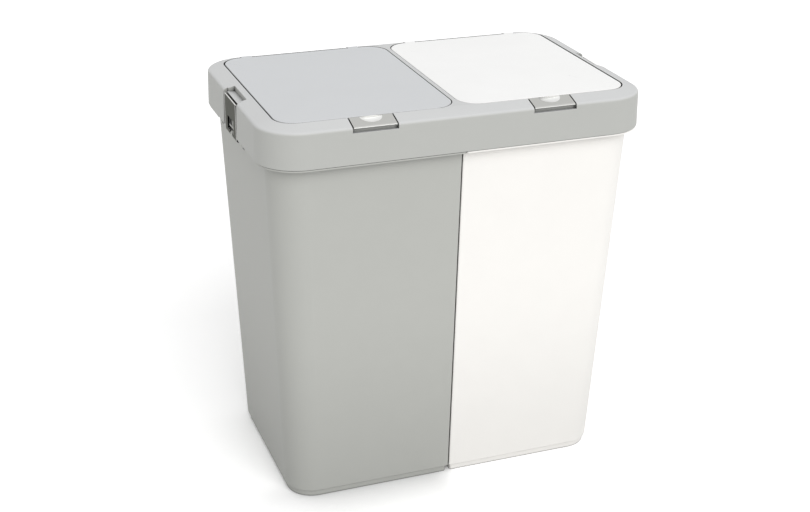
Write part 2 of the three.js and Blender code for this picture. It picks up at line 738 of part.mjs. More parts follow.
// The left clip, closed: a plate on a barrel, with a window and a snap nose
function makeClip() {
  const half = clipWidth / 2;
  const windowHalf = clipWindowWidth / 2;
  const windowZ = clipPinZ + clipBarrelRadius + restGap;
  const noseTopZ = clipTopZ - clipNoseDrop;
  const noseX = clipWallX + clipCatchReach + restGap;
  const edge = clipThickness / 3;
  const profile = [
    [-clipOuterX, clipPinZ], [-clipInnerX, clipPinZ],
    [-clipInnerX, noseTopZ - clipNoseHeight], [-noseX, noseTopZ - clipNoseHeight],
    [-noseX, noseTopZ - clipNoseHeight / 2], [-clipInnerX, noseTopZ],
    [-clipInnerX, clipTopZ - edge], [-clipInnerX - edge, clipTopZ],
    [-clipOuterX + edge, clipTopZ], [-clipOuterX, clipTopZ - edge],
  ];
  const plate = sweepAlongY(profile, -half, half);
  const barrel = solid(rodAlongY(-half, half, -clipPinX, clipPinZ, clipBarrelRadius));
  const window = box(-halfWidth, -clipPinX + clipBarrelRadius, -windowHalf, windowHalf,
    windowZ, windowZ + clipWindowHeight);
  const lugHalf = middleLugWidth / 2 + sideGap;
  const lugSlot = box(-halfWidth, -clipPinX + clipBarrelRadius + overCut, -lugHalf, lugHalf,
    clipPinZ - clipBarrelRadius - overCut, windowZ + overCut);
  return toGeometry(cut(join(plate, barrel), window, lugSlot, clipBore()));
}

function makeClipPin() {
  return rodAlongY(-outerLugReach, outerLugReach, -clipPinX, clipPinZ, clipPinRadius);
}

// ---------------------------------------------------------------- assembly

// The same geometry on the other side of x = 0
function mirrored(geometry) {
  const copy = geometry.index ? geometry.toNonIndexed() : geometry.clone();
  copy.scale(-1, 1, 1);
  const position = copy.attributes.position;
  for (let corner = 0; corner < position.count; corner += 3) {
    const first = new THREE.Vector3().fromBufferAttribute(position, corner + 1);
    const second = new THREE.Vector3().fromBufferAttribute(position, corner + 2);
    position.setXYZ(corner + 1, second.x, second.y, second.z);
    position.setXYZ(corner + 2, first.x, first.y, first.z);
  }
  return toGeometry(solid(copy));
}

const group = new THREE.Group();

function add(name, geometry, material) {
  const mesh = new THREE.Mesh(geometry, material);
  mesh.name = name;
  group.add(mesh);
}

function addPair(name, geometry, leftMaterial, rightMaterial) {
  add(`left_${name}`, geometry, leftMaterial);
  add(`right_${name}`, mirrored(geometry), rightMaterial);
}

add('lid_frame', makeFrame(), frameGrey);
addPair('lid', makeLid(), lidGrey, white);
addPair('lid_pin_outer', makeLidPin(-hingeSpread), steel, steel);
addPair('lid_pin_inner', makeLidPin(hingeSpread), steel, steel);
addPair('latch', makeLatch(), silver, silver);
addPair('latch_pin', makeLatchPin(), steel, steel);
addPair('latch_spring', makeLatchSpring(), steel, steel);
addPair('bin', makeBin(), binGrey, white);
addPair('clip', makeClip(), silver, silver);
addPair('clip_pin', makeClipPin(), steel, steel);

export default group;
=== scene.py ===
"""Double recycling bin: the finished look of every piece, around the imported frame.

Lengths are millimetres until a mesh is made, and metres after that.
X runs along the width, -Y is the front, +Z is up, and the floor is z = 0.
"""

import math

import bmesh
import bpy
from mathutils import Matrix, Vector


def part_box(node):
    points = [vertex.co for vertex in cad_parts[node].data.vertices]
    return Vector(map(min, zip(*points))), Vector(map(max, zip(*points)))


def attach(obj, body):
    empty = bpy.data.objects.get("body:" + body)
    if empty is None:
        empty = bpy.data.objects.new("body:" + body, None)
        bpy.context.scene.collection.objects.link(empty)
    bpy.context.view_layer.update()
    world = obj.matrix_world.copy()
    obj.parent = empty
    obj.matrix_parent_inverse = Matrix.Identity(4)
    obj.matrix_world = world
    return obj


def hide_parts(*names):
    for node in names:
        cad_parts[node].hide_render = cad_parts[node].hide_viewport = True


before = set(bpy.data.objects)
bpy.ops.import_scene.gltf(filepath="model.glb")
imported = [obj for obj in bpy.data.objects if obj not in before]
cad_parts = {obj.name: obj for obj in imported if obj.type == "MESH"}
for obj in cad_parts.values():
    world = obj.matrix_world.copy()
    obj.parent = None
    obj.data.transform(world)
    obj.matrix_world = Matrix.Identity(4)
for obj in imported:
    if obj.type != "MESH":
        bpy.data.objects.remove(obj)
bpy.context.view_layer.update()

MM = 0.001

# ------------------------------------------------------------------ sizes read from the frame


def size_of(node):
    """Lowest and highest corner of a CAD node, in millimetres."""
    low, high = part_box(node)
    return low / MM, high / MM


frame_low, frame_high = size_of("lid_frame")
HALF_WIDTH = frame_high.x
HALF_DEPTH = frame_high.y
SKIRT_BOTTOM = frame_low.z
LID_PLANE = frame_high.z
BIN_HEIGHT = size_of("left_bin")[1].z

# ------------------------------------------------------------------ sizes shared with the construction

REST_GAP = 0.3
PIN_GAP = 0.15

CORNER_RADIUS = 57
FRAME_WALL = 2.6
SKIRT_DRAFT = 1
SHOULDER_DROP = 6.5
SHOULDER_RADIUS = 5
STRIP_WIDTH = 24
BAR_HALF = 3
SEAT_RIB_INSET = 7.4
SEAT_RIB_WALL = 2.4

OPENING_RADIUS = 30
LID_GAP = 1.8
LID_BAR_GAP = 0.6
LID_REAR_GAP = 1.5
LID_WALL = 2.6
LID_RIM = 11.2
LID_CROWN = 3
LID_CROWN_FLAT = 0.15
LID_SEAT_WIDTH = 7
LID_SEAT_THICKNESS = 2.6

HINGE_BEHIND = 10
HINGE_BELOW = 5.4
HINGE_SPREAD = 80
HINGE_ARM = 16
HINGE_ARM_RADIUS = 3.4
HINGE_ARM_GAP = 1
HINGE_CHEEK = 5
HINGE_CHEEK_DEPTH = 5.5
HINGE_SLOT_BEHIND = 7
LID_PIN_RADIUS = 1.5

LATCH_WIDTH = 58
LATCH_GAP = 1.6
LATCH_THICKNESS = 2.4
LATCH_PIVOT_INSET = 13
LATCH_PIVOT_BELOW = 6.5
LATCH_HUB_RADIUS = 3
LATCH_RIB = 3
LATCH_ARM = 10
LATCH_ARM_DEPTH = 9
LATCH_ARM_WALL = 3.2
LATCH_NOSE_HEIGHT = 2.4
LATCH_NOSE_GAP = 0.5
LATCH_LIP_DROP = 7.6
LATCH_PIN_RADIUS = 1.5
LATCH_CHEEK = 4
SCOOP_WIDTH = 31
SCOOP_DEPTH = 14
SCOOP_HOLLOW = 1.8
SCOOP_RISE = 0.5
SCOOP_EDGE = 0.8
CATCH_TAB = 12
CATCH_TAB_WALL = 2
CATCH_TAB_GAP = 2
RECESS_HEIGHT = 5.8
RECESS_DEPTH = 6
POCKET_FLOOR_WALL = 2.4
POCKET_FLOOR_GAP = 2.8
SPRING_STUB_RADIUS = 1.5
SPRING_STUB_HEIGHT = 3
SPRING_OFFSET = 15
SPRING_INSET = 17

BIN_TOP_INSET = 12.3
BIN_TAPER_X = 22.4
BIN_TAPER_Y = 23.1
BIN_TOP_RADIUS = 46
BIN_FOOT_RADIUS = 40
BIN_WALL = 2.5
BIN_FLOOR = 3
BIN_SEAM_HALF = 0.35
BIN_SEAM_RADIUS = 3
BIN_FOOT_ROUND = 2
PLINTH_HEIGHT = 9.6
PLINTH_INSET = 3.2
RIM_THICKNESS = 2.4
LIP_INSET = 3.2
LIP_WALL = 2.2
BEAD_INSET = 1.2
BEAD_GAP = 0.6
BEAD_HEIGHT = 2.4

CLIP_WIDTH = 61
CLIP_GAP = 4
CLIP_THICKNESS = 2.4
CLIP_RISE = 45.5
CLIP_PIN_INSET = 4
CLIP_PIN_DROP = 3.5
CLIP_PIN_RADIUS = 1.6
CLIP_BARREL = 3.2
CLIP_WINDOW = 32
CLIP_WINDOW_HEIGHT = 18
CLIP_NOSE_DROP = 4.5
CLIP_NOSE_HEIGHT = 3.3
CLIP_CATCH_REACH = 1.6
CLIP_CATCH_FOOT = 2
CLIP_CATCH_GAP = 0.6
CLIP_LEDGE_GAP = 2.4
CLIP_POCKET = 16
CLIP_POCKET_GAP = 1
LUG_RADIUS = 2.9
MIDDLE_LUG = 10
OUTER_LUG = 9
OUTER_LUG_REACH = 60
LUG_NOTCH_GAP = 12
LUG_SIDE_GAP = 0.6

# ------------------------------------------------------------------ fineness of the finished meshes

CORNER_STEPS = 16
SHOULDER_STEPS = 10
ROUND_SIDES = 40
OVER_CUT = 1

# ------------------------------------------------------------------ derived places

SEAT = BIN_HEIGHT + REST_GAP
OPENING_X = HALF_WIDTH - STRIP_WIDTH
OPENING_Y = HALF_DEPTH - STRIP_WIDTH
LID_MIDDLE = (BAR_HALF + OPENING_X) / 2
LID_BOTTOM = LID_PLANE - LID_RIM
LID_SEAT_TOP = LID_BOTTOM - REST_GAP
LID_SEAT_BOTTOM = LID_SEAT_TOP - LID_SEAT_THICKNESS
LID_FRONT = -OPENING_Y + LID_GAP
LID_REAR = OPENING_Y - LID_REAR_GAP
HINGE_Y = OPENING_Y + HINGE_BEHIND
HINGE_Z = LID_PLANE - HINGE_BELOW
LATCH_PIVOT_Y = -HALF_DEPTH + LATCH_PIVOT_INSET
LATCH_PIVOT_Z = LID_PLANE - LATCH_PIVOT_BELOW
LATCH_LIP = LID_PLANE - LATCH_LIP_DROP
LATCH_ARM_BOTTOM = LATCH_PIVOT_Z - LATCH_ARM_DEPTH
POCKET_FLOOR = LATCH_ARM_BOTTOM - POCKET_FLOOR_GAP
RECESS_FLOOR = LATCH_LIP - RECESS_HEIGHT
RECESS_BACK = -HALF_DEPTH + RECESS_DEPTH
CLIP_PIN_X = HALF_WIDTH - CLIP_PIN_INSET
CLIP_PIN_Z = SKIRT_BOTTOM - CLIP_PIN_DROP
CLIP_TOP = SKIRT_BOTTOM + CLIP_RISE
CLIP_OUTER = CLIP_PIN_X + CLIP_BARREL
CLIP_INNER = CLIP_OUTER - CLIP_THICKNESS
CLIP_WALL_X = HALF_WIDTH - SEAT_RIB_INSET
CLIP_WALL_INNER = CLIP_WALL_X - SEAT_RIB_WALL
CLIP_NOTCH = CLIP_WIDTH / 2 + CLIP_GAP
CLIP_POCKET_HALF = CLIP_WIDTH / 2 + CLIP_POCKET_GAP
RIM_NOTCH = OUTER_LUG_REACH + LUG_NOTCH_GAP

# ------------------------------------------------------------------ mesh tools


def object_from(name, points, faces):
    """A mesh object from points in millimetres and faces of point numbers."""
    mesh = bpy.data.meshes.new(name)
    mesh.from_pydata([[value * MM for value in point] for point in points], [], faces)
    mesh.update()
    piece = bpy.data.objects.new(name, mesh)
    bpy.context.scene.collection.objects.link(piece)
    return piece


def discard(piece):
    mesh = piece.data
    bpy.data.objects.remove(piece)
    bpy.data.meshes.remove(mesh)


def apply_modifiers(piece):
    """Bakes a piece's modifiers into its mesh."""
    graph = bpy.context.evaluated_depsgraph_get()
    finished = bpy.data.meshes.new_from_object(piece.evaluated_get(graph))
    piece.modifiers.clear()
    plain = piece.data
    piece.data = finished
    bpy.data.meshes.remove(plain)
    return piece


def combine(operation, first, others):
    for other in others:
        step = first.modifiers.new(operation, "BOOLEAN")
        step.operation = operation
        step.solver = "MANIFOLD"
        step.object = other
    apply_modifiers(first)
    for other in others:
        discard(other)
    return first


def join(first, *others):
    return combine("UNION", first, others)


def cut(first, *others):
    return combine("DIFFERENCE", first, others)


def keep_within(first, *others):
    return combine("INTERSECT", first, others)


def copy_of(piece):
    twin = piece.copy()
    twin.data = piece.data.copy()
    bpy.context.scene.collection.objects.link(twin)
    return twin


def loft(rings, name="loft"):
    """A closed solid through rings of equal count, from the lowest to the highest."""
    count = len(rings[0])
    points = [point for ring in rings for point in ring]
    faces = []
    for level in range(len(rings) - 1):
        for step in range(count):
            a = level * count + step
            b = level * count + (step + 1) % count
            faces.append((a, b, b + count, a + count))
    top = (len(rings) - 1) * count
    faces.append(tuple(reversed(range(count))))
    faces.append(tuple(range(top, top + count)))
    return object_from(name, points, faces)


def sweep(outline, place, near, far):
    """A closed outline of (u, v) points, turned into a solid between two stations.

    place(u, v, station) gives a point; the outline turns anticlockwise seen from the far end.
    """
    return loft([[place(u, v, station) for u, v in outline] for station in (near, far)])


def sweep_along_x(outline, x0, x1):
    return sweep(outline, lambda y, z, x: (x, y, z), x0, x1)


def sweep_along_y(outline, y0, y1):
    return sweep(outline, lambda x, z, y: (x, y, z), y1, y0)


def box(x0, x1, y0, y1, z0, z1):
    low_x, high_x = sorted((x0, x1))
    corners = [(low_x, y0), (high_x, y0), (high_x, y1), (low_x, y1)]
    return loft([[(x, y, z) for x, y in corners] for z in (z0, z1)], "box")


def box_about(middle, half, y0, y1, z0, z1):
    return box(middle - half, middle + half, y0, y1, z0, z1)


def circle(radius, sides=ROUND_SIDES):
    turn = math.tau / sides
    return [(radius * math.cos(turn * side), radius * math.sin(turn * side)) for side in range(sides)]


def rod_along_x(x0, x1, y, z, radius):
    return sweep_along_x([(y + u, z + v) for u, v in circle(radius)], x0, x1)


def rod_along_y(y0, y1, x, z, radius):
    return sweep_along_y([(x + u, z + v) for u, v in circle(radius)], y0, y1)


# ------------------------------------------------------------------ plans and profiles


class Plan:
    """A rectangle with a radius at each corner: right back, left back, left front, right front."""

    LEAST_RADIUS = 0.4

    def __init__(self, x0, x1, y0, y1, radii):
        self.x0, self.x1 = sorted((x0, x1))
        self.y0, self.y1 = y0, y1
        self.radii = radii

    def ring(self, z, left=0, right=0, front=0, back=0):
        """The plan's outline at a height, with each side moved inward."""
        x0, x1 = self.x0 + left, self.x1 - right
        y0, y1 = self.y0 + front, self.y1 - back
        most = min(x1 - x0, y1 - y0) / 2 - self.LEAST_RADIUS
        points = []
        for corner, (sx, sy) in enumerate(((1, 1), (-1, 1), (-1, -1), (1, -1))):
            inset = min(right if sx > 0 else left, back if sy > 0 else front)
            radius = min(most, max(self.LEAST_RADIUS, self.radii[corner] - inset))
            cx = x1 - radius if sx > 0 else x0 + radius
            cy = y1 - radius if sy > 0 else y0 + radius
            for step in range(CORNER_STEPS + 1):
                angle = (corner + step / CORNER_STEPS) * math.pi / 2
                points.append((cx + radius * math.cos(angle), cy + radius * math.sin(angle), z))
        return points

    def even_ring(self, inset, z):
        return self.ring(z, inset, inset, inset, inset)

    def prism(self, inset, z0, z1):
        return loft([self.even_ring(inset, z0), self.even_ring(inset, z1)], "prism")


FRAME_PLAN = Plan(-HALF_WIDTH, HALF_WIDTH, -HALF_DEPTH, HALF_DEPTH, [CORNER_RADIUS] * 4)


def opening_plan(side):
    return Plan(side * BAR_HALF, side * OPENING_X, -OPENING_Y, OPENING_Y, [OPENING_RADIUS] * 4)


def frame_profile(offset):
    """The frame's outer profile as (inset, z) points, moved inward by an offset."""
    foot = Vector((0, SKIRT_BOTTOM))
    corner = Vector((SKIRT_DRAFT, LID_PLANE - SHOULDER_DROP))
    brow = Vector((STRIP_WIDTH, LID_PLANE))
    up = (corner - foot).normalized()
    along = (brow - corner).normalized()
    skirt_normal = Vector((up.y, -up.x))
    strip_normal = Vector((along.y, -along.x))
    turn = math.acos(up.dot(along))
    diagonal = (skirt_normal + strip_normal).normalized()
    moved = corner + diagonal * offset / math.cos(turn / 2)
    radius = SHOULDER_RADIUS - offset
    centre = moved - up * radius * math.tan(turn / 2) + skirt_normal * radius
    foot_z = SKIRT_BOTTOM - (OVER_CUT if offset > 0 else 0)
    profile = [(moved.x - (moved.y - foot_z) * up.x / up.y, foot_z)]
    start = math.atan2(-skirt_normal.y, -skirt_normal.x)
    for step in range(SHOULDER_STEPS + 1):
        angle = start - turn * step / SHOULDER_STEPS
        profile.append((centre.x + radius * math.cos(angle), centre.y + radius * math.sin(angle)))
    top = LID_PLANE - offset
    profile.append((moved.x + (top - moved.y) * along.x / along.y, top))
    return profile


def frame_form(offset):
    return loft([FRAME_PLAN.even_ring(inset, z) for inset, z in frame_profile(offset)], "frame_form")


# ------------------------------------------------------------------ finishing tools


def soften(piece, width, angle=38, merge_flats=True):
    """Rounds the sharp edges of a piece, within the space it had before.

    Flat faces with a hole in them are kept as triangles, by merge_flats=False.
    """
    shape = bmesh.new()
    shape.from_mesh(piece.data)
    bmesh.ops.remove_doubles(shape, verts=shape.verts, dist=0.01 * MM)
    if merge_flats:
        bmesh.ops.dissolve_limit(shape, angle_limit=math.radians(0.4), verts=shape.verts, edges=shape.edges)
    else:
        bmesh.ops.triangulate(shape, faces=shape.faces)
    shape.to_mesh(piece.data)
    shape.free()
    places = [vertex.co for vertex in piece.data.vertices]
    low = Vector([min(place[axis] for place in places) for axis in range(3)])
    high = Vector([max(place[axis] for place in places) for axis in range(3)])
    bevel = piece.modifiers.new("edges", "BEVEL")
    bevel.width = width * MM
    bevel.segments = 2
    bevel.limit_method = "ANGLE"
    bevel.angle_limit = math.radians(angle)
    bevel.use_clamp_overlap = False
    apply_modifiers(piece)
    for vertex in piece.data.vertices:
        vertex.co = [min(max(vertex.co[axis], low[axis]), high[axis]) for axis in range(3)]
    return piece


def smooth(piece):
    """Smooth shading between the sharp edges, with flat faces kept flat."""
    piece.data.shade_smooth()
    piece.data.set_sharp_from_angle(angle=math.radians(34))
    weighted = piece.modifiers.new("normals", "WEIGHTED_NORMAL")
    weighted.keep_sharp = True
    return apply_modifiers(piece)


def dress(piece, name, body, node, material):
    """Names a finished piece, gives it its finish and lets it ride in its CAD node's place."""
    smooth(piece)
    piece.name = name
    piece.data.name = name
    piece.data.materials.clear()
    piece.data.materials.append(material)
    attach(piece, body)
    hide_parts(node)
    return piece


def mirrored(piece):
    """A copy on the other side of x = 0."""
    twin = copy_of(piece)
    shape = bmesh.new()
    shape.from_mesh(twin.data)
    bmesh.ops.scale(shape, vec=(-1, 1, 1), verts=shape.verts)
    bmesh.ops.reverse_faces(shape, faces=shape.faces)
    shape.to_mesh(twin.data)
    shape.free()
    return twin


# ------------------------------------------------------------------ lid frame


def make_frame():
    top = LID_PLANE + OVER_CUT
    seat_rib = cut(
        FRAME_PLAN.prism(SEAT_RIB_INSET, SEAT, top),
        FRAME_PLAN.prism(SEAT_RIB_INSET + SEAT_RIB_WALL, SEAT - OVER_CUT, top + OVER_CUT),
    )
    parts = [
        seat_rib,
        box_about(0, BAR_HALF, -OPENING_Y - FRAME_WALL, OPENING_Y + FRAME_WALL, SEAT, top),
    ]
    for side in (-1, 1):
        parts.append(opening_plan(side).prism(-FRAME_WALL, SEAT, top))
        half = LATCH_WIDTH / 2 + LATCH_GAP + LATCH_CHEEK
        parts.append(box_about(side * LID_MIDDLE, half, -HALF_DEPTH, -OPENING_Y,
                               POCKET_FLOOR - POCKET_FLOOR_WALL, top))
        half = CLIP_NOTCH + FRAME_WALL
        parts.append(box(side * HALF_WIDTH, side * OPENING_X, -half, half, SEAT, top))
        parts.append(box(side * HALF_WIDTH, side * CLIP_WALL_INNER, -half, half, SKIRT_BOTTOM,
                         SEAT + OVER_CUT))
        half = HINGE_ARM / 2 + HINGE_ARM_GAP + HINGE_CHEEK
        for spread in (-HINGE_SPREAD, HINGE_SPREAD):
            parts.append(box_about(side * LID_MIDDLE + spread, half, OPENING_Y,
                                   HINGE_Y + HINGE_SLOT_BEHIND + FRAME_WALL,
                                   HINGE_Z - HINGE_CHEEK_DEPTH, top))
    shell = cut(frame_form(0), frame_form(FRAME_WALL))
    body = keep_within(join(shell, *parts), frame_form(0))
    cuts = []
    for side in (-1, 1):
        plan = opening_plan(side)
        cuts += [
            plan.prism(0, LID_SEAT_TOP, top + OVER_CUT),
            plan.prism(0, SEAT - OVER_CUT, LID_SEAT_BOTTOM),
            plan.prism(LID_SEAT_WIDTH, SEAT - OVER_CUT, top + OVER_CUT),
        ]
        cuts += latch_cuts(side * LID_MIDDLE)
        cuts += clip_cuts(side)
        for spread in (-HINGE_SPREAD, HINGE_SPREAD):
            cuts += hinge_cuts(side * LID_MIDDLE + spread)
    additions = []
    for side in (-1, 1):
        additions += [clip_catch(side), clip_ledge(side), spring_stub(side)]
    return join(cut(body, *cuts), *additions)


def clip_catch(side):
    """A raised panel on the notch's wall, whose top lies just under the closed clip's nose."""
    top = CLIP_TOP - CLIP_NOSE_DROP - CLIP_NOSE_HEIGHT - CLIP_CATCH_GAP
    return box(side * (CLIP_WALL_X - OVER_CUT), side * (CLIP_WALL_X + CLIP_CATCH_REACH),
               -CLIP_WINDOW / 2, CLIP_WINDOW / 2, SKIRT_BOTTOM + CLIP_CATCH_FOOT, top)


def clip_ledge(side):
    """The pocket's floor runs out to just behind the clip's top."""
    half = CLIP_NOTCH + OVER_CUT
    return box(side * (CLIP_WALL_X - OVER_CUT), side * (CLIP_INNER - CLIP_LEDGE_GAP), -half, half,
               CLIP_TOP - FRAME_WALL, CLIP_TOP)


def spring_stub(side):
    x = side * (LID_MIDDLE + SPRING_OFFSET)
    y = -HALF_DEPTH + SPRING_INSET
    rings = [[(x + u, y + v, z) for u, v in circle(SPRING_STUB_RADIUS)]
             for z in (POCKET_FLOOR - OVER_CUT, POCKET_FLOOR + SPRING_STUB_HEIGHT)]
    return loft(rings)


def latch_cuts(middle):
    half = LATCH_WIDTH / 2 + LATCH_GAP
    top = LID_PLANE + OVER_CUT
    back_wall = RECESS_BACK + FRAME_WALL
    window = LATCH_ARM / 2 + LATCH_GAP
    tab = CATCH_TAB / 2 + CATCH_TAB_GAP
    pin = half + LATCH_CHEEK - OVER_CUT
    return [
        box_about(middle, half, back_wall, -OPENING_Y - FRAME_WALL, POCKET_FLOOR, top),
        box_about(middle, half, -HALF_DEPTH - OVER_CUT, RECESS_BACK, RECESS_FLOOR, top),
        box_about(middle, half, -HALF_DEPTH - OVER_CUT, -OPENING_Y + OVER_CUT, LATCH_LIP - REST_GAP, top),
        box_about(middle, window, back_wall, -OPENING_Y + OVER_CUT, POCKET_FLOOR, top),
        box_about(middle, tab, -OPENING_Y, -OPENING_Y + LID_SEAT_WIDTH / 2 + OVER_CUT,
                  LID_SEAT_BOTTOM - OVER_CUT, LID_SEAT_TOP + OVER_CUT),
        rod_along_x(middle - pin, middle + pin, LATCH_PIVOT_Y, LATCH_PIVOT_Z, LATCH_PIN_RADIUS + PIN_GAP),
    ]


def hinge_cuts(middle):
    half = HINGE_ARM / 2 + HINGE_ARM_GAP
    pin = half + HINGE_CHEEK - OVER_CUT
    back = HINGE_Y + HINGE_SLOT_BEHIND
    return [
        box_about(middle, half, OPENING_Y - OVER_CUT, back, HINGE_Z - HINGE_ARM_RADIUS - HINGE_ARM_GAP,
                  LID_PLANE + OVER_CUT),
        box_about(middle, half, OPENING_Y + FRAME_WALL, back, HINGE_Z - HINGE_CHEEK_DEPTH - OVER_CUT,
                  LID_PLANE + OVER_CUT),
        rod_along_x(middle - pin, middle + pin, HINGE_Y, HINGE_Z, LID_PIN_RADIUS + PIN_GAP),
    ]


def clip_cuts(side):
    outer = side * (HALF_WIDTH + OVER_CUT)
    top = LID_PLANE + OVER_CUT
    return [
        box(side * CLIP_WALL_X, outer, -CLIP_NOTCH, CLIP_NOTCH, SKIRT_BOTTOM - OVER_CUT, top),
        box(side * (HALF_WIDTH - CLIP_POCKET), outer, -CLIP_POCKET_HALF, CLIP_POCKET_HALF, CLIP_TOP, top),
        box(side * (OPENING_X + FRAME_WALL), side * CLIP_WALL_INNER, -CLIP_POCKET_HALF, CLIP_POCKET_HALF,
            SEAT - OVER_CUT, CLIP_TOP - FRAME_WALL),
    ]


# ------------------------------------------------------------------ lids


def lid_ring(extra, z):
    """The left lid's outline at a height, moved inward."""
    gap = LID_GAP + extra
    return opening_plan(-1).ring(z, gap, LID_BAR_GAP + extra, gap, LID_REAR_GAP + extra)


def shrunk(ring, share, z):
    """A ring drawn in towards its middle, at a height."""
    low = Vector((min(point[0] for point in ring), min(point[1] for point in ring)))
    high = Vector((max(point[0] for point in ring), max(point[1] for point in ring)))
    middle = (low + high) / 2
    return [(middle.x + (x - middle.x) * share, middle.y + (y - middle.y) * share, z) for x, y, _ in ring]


def make_lid():
    """The left lid, closed: a softly crowned flap with a rim, arms and a catch tab."""
    edge_round = 1.4
    edge_steps = 5
    crown_steps = 14
    outer = [lid_ring(0, LID_BOTTOM)]
    for step in range(edge_steps + 1):
        angle = math.pi / 2 * step / edge_steps
        outer.append(lid_ring(edge_round * (1 - math.cos(angle)),
                              LID_PLANE - edge_round * (1 - math.sin(angle))))
    inner = [lid_ring(LID_WALL, LID_BOTTOM - OVER_CUT), lid_ring(LID_WALL, LID_PLANE - LID_WALL)]
    for step in range(1, crown_steps + 1):
        way = step / crown_steps
        share = 1 - way * (1 - LID_CROWN_FLAT)
        height = LID_CROWN * (1 - (1 - way) ** 2)
        outer.append(shrunk(lid_ring(edge_round, 0), share, LID_PLANE + height))
        inner.append(shrunk(lid_ring(LID_WALL, 0), share, LID_PLANE - LID_WALL + height))
    lid = cut(loft(outer), loft(inner))
    arms = [hinge_arm(-LID_MIDDLE + spread) for spread in (-HINGE_SPREAD, HINGE_SPREAD)]
    tab = box_about(-LID_MIDDLE, CATCH_TAB / 2, LID_FRONT, LID_FRONT + CATCH_TAB_WALL,
                    LATCH_ARM_BOTTOM, LID_PLANE - LID_WALL)
    lid = join(lid, tab, *arms)
    half = HINGE_ARM / 2 + OVER_CUT
    bores = [rod_along_x(-LID_MIDDLE + spread - half, -LID_MIDDLE + spread + half, HINGE_Y, HINGE_Z,
                         LID_PIN_RADIUS + PIN_GAP) for spread in (-HINGE_SPREAD, HINGE_SPREAD)]
    return soften(cut(lid, *bores), 0.35)


def hinge_arm(middle):
    sides = ROUND_SIDES // 2
    outline = []
    for step in range(sides + 1):
        angle = -math.pi / 2 + math.pi * step / sides
        outline.append((HINGE_Y + HINGE_ARM_RADIUS * math.cos(angle),
                        HINGE_Z + HINGE_ARM_RADIUS * math.sin(angle)))
    root = LID_REAR - LID_WALL / 2
    outline += [(root, HINGE_Z + HINGE_ARM_RADIUS), (root, HINGE_Z - HINGE_ARM_RADIUS)]
    return sweep_along_x(outline, middle - HINGE_ARM / 2, middle + HINGE_ARM / 2)


# ------------------------------------------------------------------ rocker latches


def make_latch():
    """The left latch: a plate that follows the frame's strip, ribs and a nose arm on one pivot."""
    middle = -LID_MIDDLE
    half = LATCH_WIDTH / 2
    zone = box_about(middle, half, -HALF_DEPTH - OVER_CUT, -OPENING_Y, LATCH_LIP, LID_PLANE + OVER_CUT)
    plate = keep_within(cut(frame_form(0), frame_form(LATCH_THICKNESS)), zone)

    def rib(x0, x1):
        wall = box(x0, x1, LATCH_PIVOT_Y - LATCH_HUB_RADIUS, LATCH_PIVOT_Y + LATCH_HUB_RADIUS,
                   LATCH_PIVOT_Z, LID_PLANE + OVER_CUT)
        hub = rod_along_x(x0, x1, LATCH_PIVOT_Y, LATCH_PIVOT_Z, LATCH_HUB_RADIUS)
        return join(hub, keep_within(wall, frame_form(LATCH_THICKNESS / 2)))

    arm = LATCH_ARM / 2
    front = LATCH_PIVOT_Y - LATCH_ARM_WALL / 2
    latch = join(
        plate,
        rib(middle - arm, middle + arm),
        rib(middle - half + LATCH_GAP, middle - half + LATCH_GAP + LATCH_RIB),
        rib(middle + half - LATCH_GAP - LATCH_RIB, middle + half - LATCH_GAP),
        box_about(middle, arm, front, front + LATCH_ARM_WALL, LATCH_ARM_BOTTOM, LATCH_PIVOT_Z),
        box_about(middle, arm, front, LID_FRONT - LATCH_NOSE_GAP, LATCH_ARM_BOTTOM,
                  LATCH_ARM_BOTTOM + LATCH_NOSE_HEIGHT),
    )
    bore = rod_along_x(middle - half - OVER_CUT, middle + half + OVER_CUT, LATCH_PIVOT_Y, LATCH_PIVOT_Z,
                       LATCH_PIN_RADIUS + PIN_GAP)
    return soften(cut(latch, bore, scoop(middle)), 0.4, angle=30)


def scoop(middle):
    """Half-moon hollow whose flat side lies along the latch's rear edge."""
    slope = math.atan2(SHOULDER_DROP, STRIP_WIDTH - SKIRT_DRAFT)
    rise = SCOOP_RISE * SCOOP_HOLLOW
    depth = rise + SCOOP_HOLLOW
    spread = 1 / math.sqrt(1 - (rise / depth) ** 2)
    flat_y = -OPENING_Y - SCOOP_EDGE
    flat_z = LID_PLANE - SCOOP_EDGE * math.tan(slope)
    ball = bmesh.new()
    bmesh.ops.create_uvsphere(ball, u_segments=64, v_segments=32, radius=MM)
    bmesh.ops.transform(
        ball,
        matrix=Matrix.Translation(Vector((middle, flat_y, flat_z)) * MM)
        @ Matrix.Rotation(slope, 4, "X")
        @ Matrix.Translation((0, 0, rise * MM))
        @ Matrix.Diagonal((SCOOP_WIDTH / 2 * spread, SCOOP_DEPTH * spread, depth, 1)),
        verts=ball.verts,
    )
    mesh = bpy.data.meshes.new("scoop")
    ball.to_mesh(mesh)
    ball.free()
    piece = bpy.data.objects.new("scoop", mesh)
    bpy.context.scene.collection.objects.link(piece)
    front = box_about(middle, SCOOP_WIDTH, flat_y - 2 * SCOOP_DEPTH, flat_y, LATCH_LIP,
                      LID_PLANE + SCOOP_DEPTH)
    return keep_within(piece, front)


# ------------------------------------------------------------------ bins


BIN_PLAN = Plan(-HALF_WIDTH, -BIN_SEAM_HALF, -HALF_DEPTH, HALF_DEPTH, [BIN_SEAM_RADIUS] * 4)


